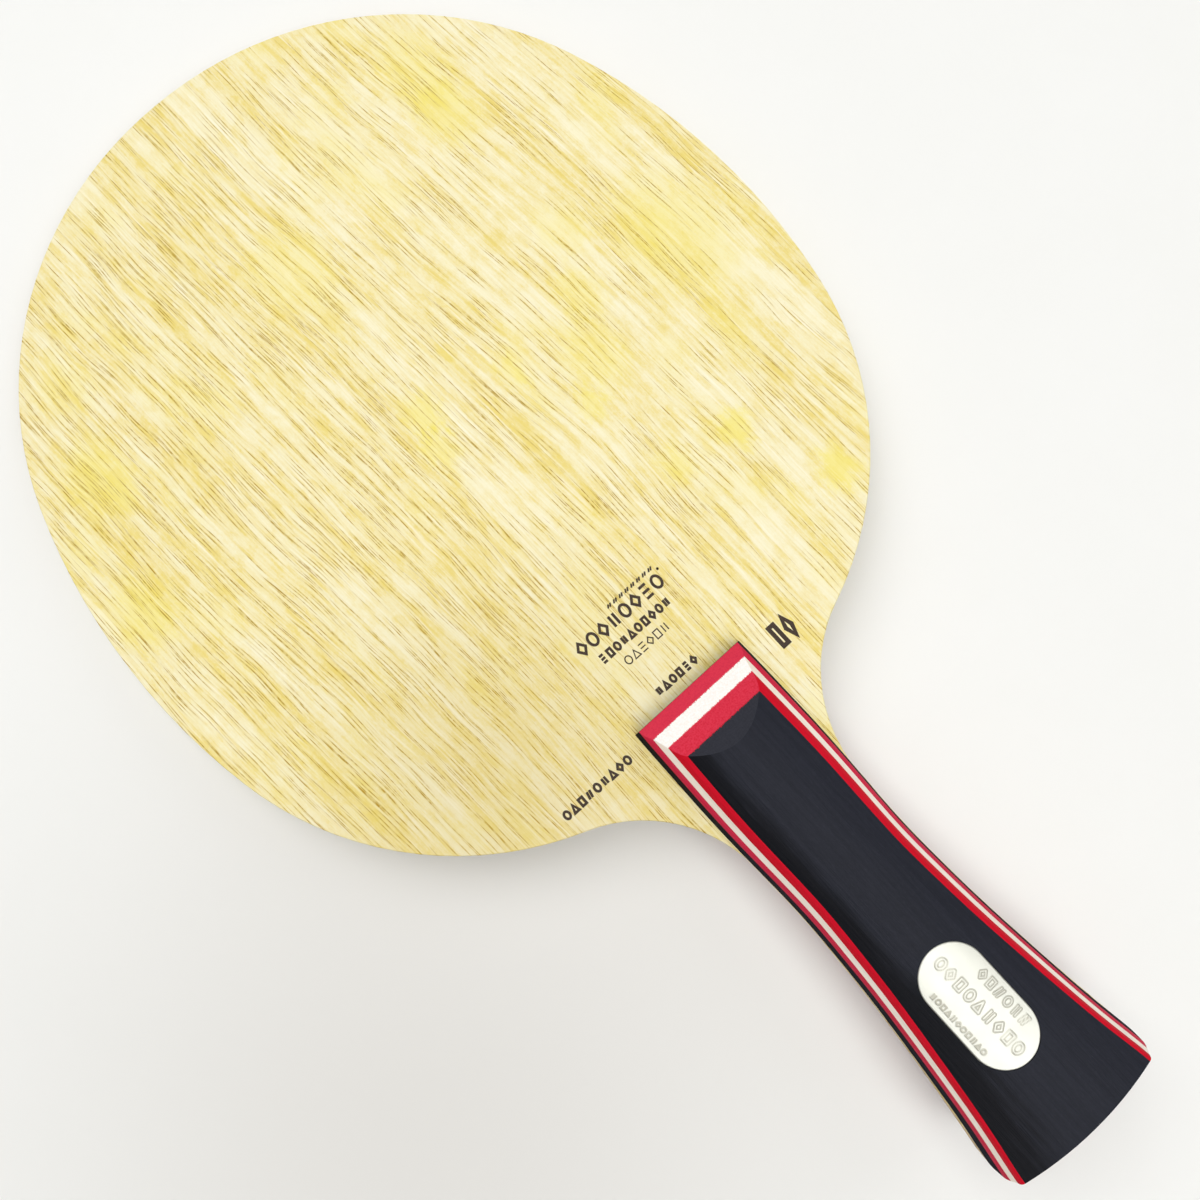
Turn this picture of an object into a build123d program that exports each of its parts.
"""Bare table tennis blade: a seven-ply head and tang, two laminated flared handle scales, a badge.

Frame, in mm: Y runs from the butt to the tip of the head, X across, Z out of the front face.
The origin is the middle of the blade in length, width and thickness.
"""

import os

from build123d import *
from build123d.topology import SkipClean

os.makedirs("parts", exist_ok=True)

# ---------------------------------------------------------------- driving dimensions
# Head and handle lengths, both counted from the line where the handle starts
head_length = 157.0
handle_length = 98.0
tip_y = (head_length + handle_length) / 2
handle_y = tip_y - head_length
butt_y = -tip_y

# Plies of the blade, from the outside in; the same three lie behind the core
outer_veneer_t = 0.6
carbon_ply_t = 0.2
inner_veneer_t = 0.9
core_ply_t = 2.4
core_z = core_ply_t / 2
inner_z = core_z + inner_veneer_t
carbon_z = inner_z + carbon_ply_t
face_z = carbon_z + outer_veneer_t
rim_radius = 0.25

# Head outline from the tip to the neck: arcs that run on from one another (radius, turn in degrees)
tip_arc = (78.5, 5.6)
cheek_arc = (71.4, 66.2)
side_arc = (129.0, 29.9)
jaw_arc = (66.0, 57.5)
neck_radius = 28.6
neck_turn = tip_arc[1] + cheek_arc[1] + side_arc[1] + jaw_arc[1] - 90

# Handle outline: half-widths of the tang at distances behind the front of the handle.
# The last station lies past the butt and is trimmed off by the butt's arc.
stations = [0.0, 8.0, 16.0, 24.0, 33.0, 44.0, 52.0, 60.0, 70.0, 80.0, 90.0, 99.0]
half_widths = [12.95, 13.1, 13.17, 13.12, 12.8, 12.47, 12.7, 13.12, 13.97, 15.0, 16.28, 17.5]
butt_radius = 140.0
butt_corner_radius = 2.0

# Handle scale: heights above the blade's face where one veneer gives way to the next
base_top = 3.8
lower_red_top = 5.1
white_top = 6.4
upper_red_top = 7.7
crown_top = 9.1
scale_step = 0.05

# How far the rounded shoulder has come in at those heights: at the bevel, the waist and the butt
bevel_insets = [0.92, 2.0, 3.05, 4.75]
waist_insets = [0.74, 1.42, 2.22, 3.5]
butt_insets = [0.7, 1.24, 1.9, 2.8]
waist_station = 60.0

# Bevel at the front of the scale: a shallow arc (distance back, height) that clears the crown
bevel_middle = (5.5, 6.4)
bevel_back = (14.0, 9.5)

# Badge let into the crown of the front scale
badge_length = 23.8
badge_width = 12.5
badge_x = -0.4
badge_y = handle_y - 71.6
badge_t = 0.6
badge_adhesive_t = 0.1


# ---------------------------------------------------------------- outlines seen from the front
with BuildSketch() as head_outline:
    with BuildLine():
        tip = JernArc((0, tip_y), (1, 0), tip_arc[0], -tip_arc[1])
        cheek = JernArc(tip @ 1, tip % 1, cheek_arc[0], -cheek_arc[1])
        side = JernArc(cheek @ 1, cheek % 1, side_arc[0], -side_arc[1])
        jaw = JernArc(side @ 1, side % 1, jaw_arc[0], -jaw_arc[1])
        neck = JernArc(jaw @ 1, jaw % 1, neck_radius, neck_turn)
        Line(neck @ 1, (0, (neck @ 1).Y))
        mirror(about=Plane.YZ)
    make_face()

with BuildSketch() as tang_outline:
    with BuildLine():
        flank = Spline(*[(w, handle_y - s) for s, w in zip(stations, half_widths)])
        Line((0, handle_y), flank @ 0)
        Line(flank @ 1, (0, handle_y - stations[-1]))
        mirror(about=Plane.YZ)
    make_face()
    with Locations((0, butt_y + butt_radius)):
        Circle(butt_radius, mode=Mode.INTERSECT)
    fillet(tang_outline.vertices().sort_by(Axis.Y)[:2], butt_corner_radius)


# ---------------------------------------------------------------- plies of the blade
def full_ply(bottom, top):
    """A ply that runs through the head and the whole handle."""
    with BuildPart() as ply:
        with BuildSketch(Plane.XY.offset(bottom)):
            add(head_outline.sketch)
            add(tang_outline.sketch)
        extrude(amount=top - bottom)
    return ply.part


with BuildPart() as core_ply:
    add(full_ply(-core_z, core_z))
core_ply.part.label = "core_ply"
export_step(core_ply.part, "parts/core_ply.step")

with BuildPart() as inner_veneer_front:
    add(full_ply(core_z, inner_z))
inner_veneer_front.part.label = "inner_veneer_front"
export_step(inner_veneer_front.part, "parts/inner_veneer_front.step")

with BuildPart() as inner_veneer_back:
    mirror(inner_veneer_front.part, about=Plane.XY)
inner_veneer_back.part.label = "inner_veneer_back"
export_step(inner_veneer_back.part, "parts/inner_veneer_back.step")

with BuildPart() as carbon_ply_front:
    add(full_ply(inner_z, carbon_z))
carbon_ply_front.part.label = "carbon_ply_front"
export_step(carbon_ply_front.part, "parts/carbon_ply_front.step")

with BuildPart() as carbon_ply_back:
    mirror(carbon_ply_front.part, about=Plane.XY)
carbon_ply_back.part.label = "carbon_ply_back"
export_step(carbon_ply_back.part, "parts/carbon_ply_back.step")

# The outer veneer keeps the part under the handle scale as a face of its own,
# so the open face is the one a rubber sheet is glued to
def outer_veneer(bottom, open_side):
    """A veneer with its rim eased at the open side: -1 for the topmost edges, 0 for the lowest."""
    with BuildPart() as under_scale:
        with BuildSketch(Plane.XY.offset(bottom)):
            add(tang_outline.sketch)
        extrude(amount=outer_veneer_t)
    with BuildPart() as veneer:
        with BuildSketch(Plane.XY.offset(bottom)):
            add(head_outline.sketch)
            add(tang_outline.sketch, mode=Mode.SUBTRACT)
        extrude(amount=outer_veneer_t)
        rim = veneer.edges().filter_by(GeomType.CIRCLE).group_by(Axis.Z)[open_side]
        fillet(rim, rim_radius)
        with SkipClean():
            add(under_scale.part)
    return veneer.part


with BuildPart() as outer_veneer_front:
    add(outer_veneer(carbon_z, -1), clean=False)
outer_veneer_front.part.label = "outer_veneer_front"
export_step(outer_veneer_front.part, "parts/outer_veneer_front.step")

with BuildPart() as outer_veneer_back:
    add(outer_veneer(-face_z, 0), clean=False)
outer_veneer_back.part.label = "outer_veneer_back"
export_step(outer_veneer_back.part, "parts/outer_veneer_back.step")


# ---------------------------------------------------------------- handle scale, as one blank
def shoulder_insets(station):
    """Insets of the shoulder at the veneer heights, easing from the bevel to the waist and the butt."""
    if station < waist_station:
        first, second, share = bevel_insets, waist_insets, station / waist_station
    else:
        past_waist = (station - waist_station) / (stations[-1] - waist_station)
        first, second, share = waist_insets, butt_insets, past_waist
    return [a + (b - a) * share for a, b in zip(first, second)]


with BuildPart() as scale_blank:
    for station, half_width in zip(stations, half_widths):
        foot = half_width - scale_step
        heights = [base_top, lower_red_top, white_top, upper_red_top]
        shoulder = [(half_width - i, h) for i, h in zip(shoulder_insets(station), heights)]
        section_plane = Plane((0, handle_y - station, face_z), x_dir=(1, 0, 0), z_dir=(0, -1, 0))
        with BuildSketch(section_plane):
            with BuildLine():
                wall = Line((foot, 0), shoulder[0])
                far_end = (-shoulder[-1][0], shoulder[-1][1])
                crown = ThreePointArc(shoulder[-1], (0, crown_top), far_end)
                curve = Spline(*shoulder, tangents=(wall % 1, crown % 0))
                mirror(wall, about=Plane.YZ)
                mirror(curve, about=Plane.YZ)
                Line((-foot, 0), (foot, 0))
            make_face()
    loft()
    # the bevel that leads from the head up to the crown
    with BuildSketch(Plane.YZ):
        with BuildLine():
            front_edge = (handle_y, face_z + base_top)
            back_edge = (handle_y - bevel_back[0], face_z + bevel_back[1])
            middle = (handle_y - bevel_middle[0], face_z + bevel_middle[1])
            ThreePointArc(front_edge, middle, back_edge)
            Polyline(back_edge, (handle_y, back_edge[1]), front_edge)
        make_face()
    extrude(amount=half_widths[0], both=True, mode=Mode.SUBTRACT)
    # the butt, trimmed flush with the tang
    with BuildSketch(Plane.XY.offset(face_z)):
        add(tang_outline.sketch)
    extrude(amount=2 * crown_top, mode=Mode.INTERSECT)


# ---------------------------------------------------------------- badge and its adhesive
def blank_lowered(depth):
    """The scale blank moved down, so its crown is a surface that lies below the real one."""
    with BuildPart() as lowered:
        with Locations((0, 0, -depth)):
            add(scale_blank.part)
    return lowered.part


with BuildPart() as badge_plug:
    with BuildSketch(Plane.XY.offset(face_z + white_top)):
        with Locations((badge_x, badge_y)):
            SlotOverall(badge_length, badge_width, rotation=90)
    extrude(amount=crown_top)
    add(scale_blank.part, mode=Mode.INTERSECT)
    add(blank_lowered(badge_t + badge_adhesive_t), mode=Mode.SUBTRACT)

with BuildPart() as badge_plate:
    add(badge_plug.part)
    add(blank_lowered(badge_t), mode=Mode.SUBTRACT)
badge_plate.part.label = "badge_plate"
export_step(badge_plate.part, "parts/badge_plate.step")

with BuildPart() as badge_adhesive:
    add(badge_plug.part)
    add(blank_lowered(badge_t), mode=Mode.INTERSECT)
badge_adhesive.part.label = "badge_adhesive"
export_step(badge_adhesive.part, "parts/badge_adhesive.step")


# ---------------------------------------------------------------- veneers of the two scales
def scale_slice(bottom, top):
    """The slice of the scale blank between two heights above the blade's face."""
    with BuildPart() as veneer:
        add(scale_blank.part)
        with Locations((0, handle_y, face_z + bottom)):
            Box(
                4 * half_widths[-1],
                4 * handle_length,
                top - bottom,
                align=(Align.CENTER, Align.CENTER, Align.MIN),
                mode=Mode.INTERSECT,
            )
    return veneer.part


scale_veneers = [
    ("base_veneer", 0.0, base_top),
    ("lower_red_veneer", base_top, lower_red_top),
    ("white_veneer", lower_red_top, white_top),
    ("upper_red_veneer", white_top, upper_red_top),
    ("cap", upper_red_top, 2 * crown_top),
]
for veneer_name, bottom, top in scale_veneers:
    with BuildPart() as front_veneer:
        add(scale_slice(bottom, top))
        if veneer_name == "cap":
            add(badge_plug.part, mode=Mode.SUBTRACT)
    front_veneer.part.label = veneer_name + "_front"
    export_step(front_veneer.part, "parts/" + veneer_name + "_front.step")

    with BuildPart() as back_veneer:
        mirror(scale_slice(bottom, top), about=Plane.XY)
    back_veneer.part.label = veneer_name + "_back"
    export_step(back_veneer.part, "parts/" + veneer_name + "_back.step")
